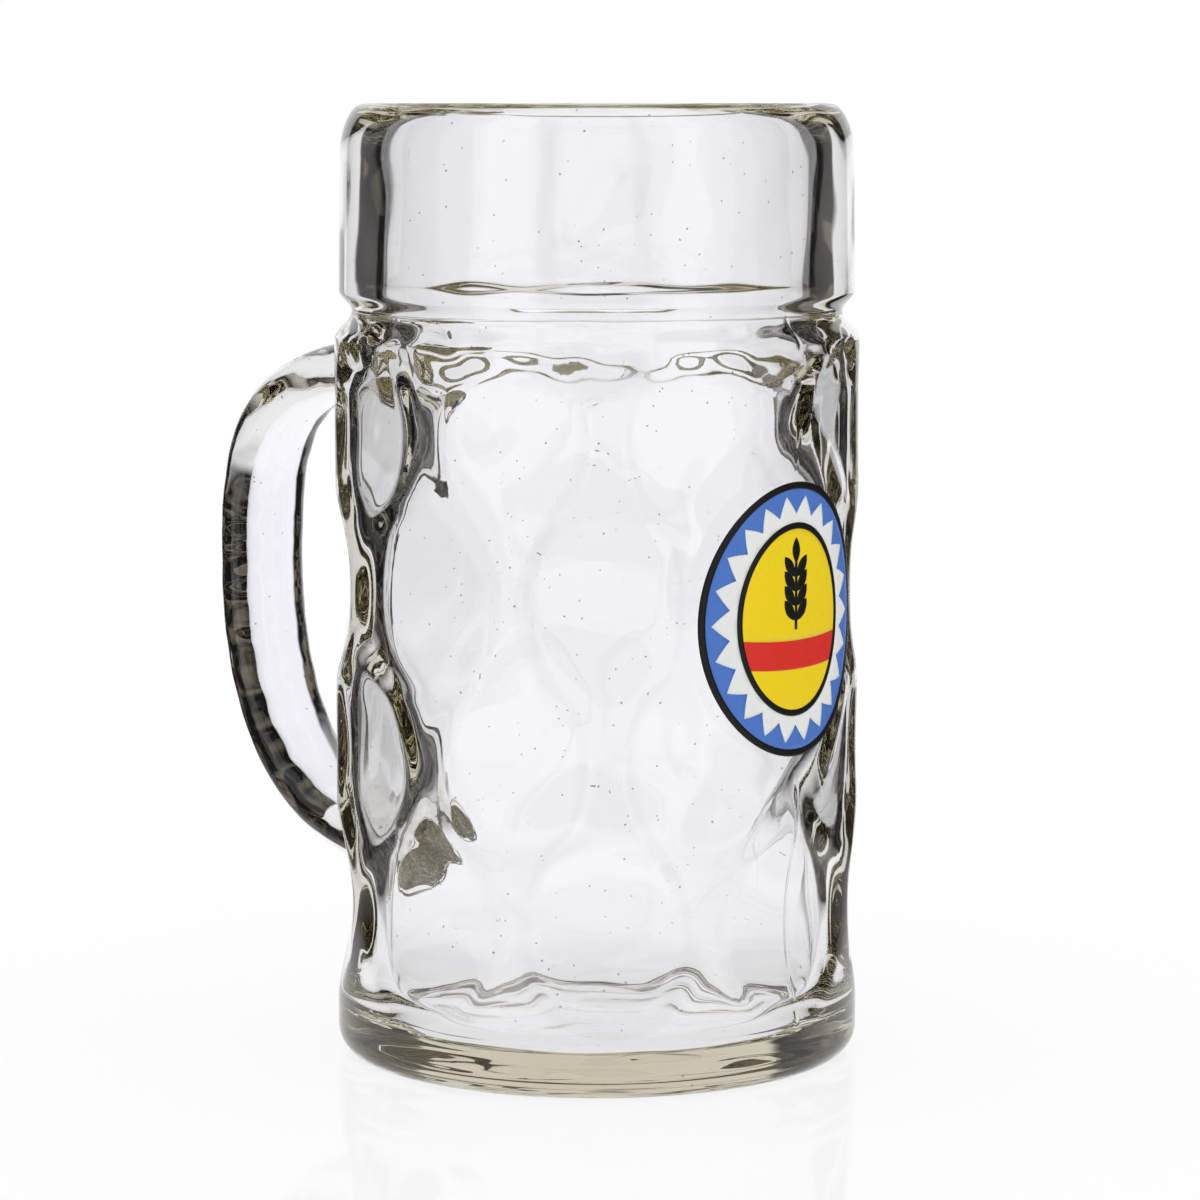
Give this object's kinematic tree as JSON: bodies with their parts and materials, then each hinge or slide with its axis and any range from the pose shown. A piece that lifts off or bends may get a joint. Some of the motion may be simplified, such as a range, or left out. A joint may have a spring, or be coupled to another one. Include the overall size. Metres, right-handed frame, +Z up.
{
  "type": "beer mug",
  "caption": "Tall clear moulded-glass beer mug with a dimpled wall, plain rim band above a neck groove, a loop handle and a round enamel badge; holds a litre of drink.",
  "frame": {"origin": "on the mug's axis in the plane that it stands on; the middle of the underside is recessed 1 mm above it", "axes": "+Z up along the mug's axis, +X towards the handle, -X towards the badge, +Y across, to the left of someone who looks along +X"},
  "size_m": [0.163, 0.11, 0.2],
  "materials": {
    "clear_glass": "fire-polished, slightly wavy",
    "handle_glass": "fire-polished, slightly wavy",
    "enamel_black": "fired gloss",
    "enamel_blue": "fired gloss",
    "enamel_white": "fired gloss",
    "enamel_yellow": "fired gloss",
    "enamel_red": "fired gloss"
  },
  "bodies": {
    "root": {"mug_body": "clear_glass", "handle": "handle_glass", "print_outline": "enamel_black", "print_blue_border": "enamel_blue", "print_white_border": "enamel_white", "print_inner_line": "enamel_black", "print_yellow_field": "enamel_yellow", "print_red_band": "enamel_red", "print_yellow_base": "enamel_yellow", "print_barley_ear": "enamel_black"}
  },
  "joints": []
}
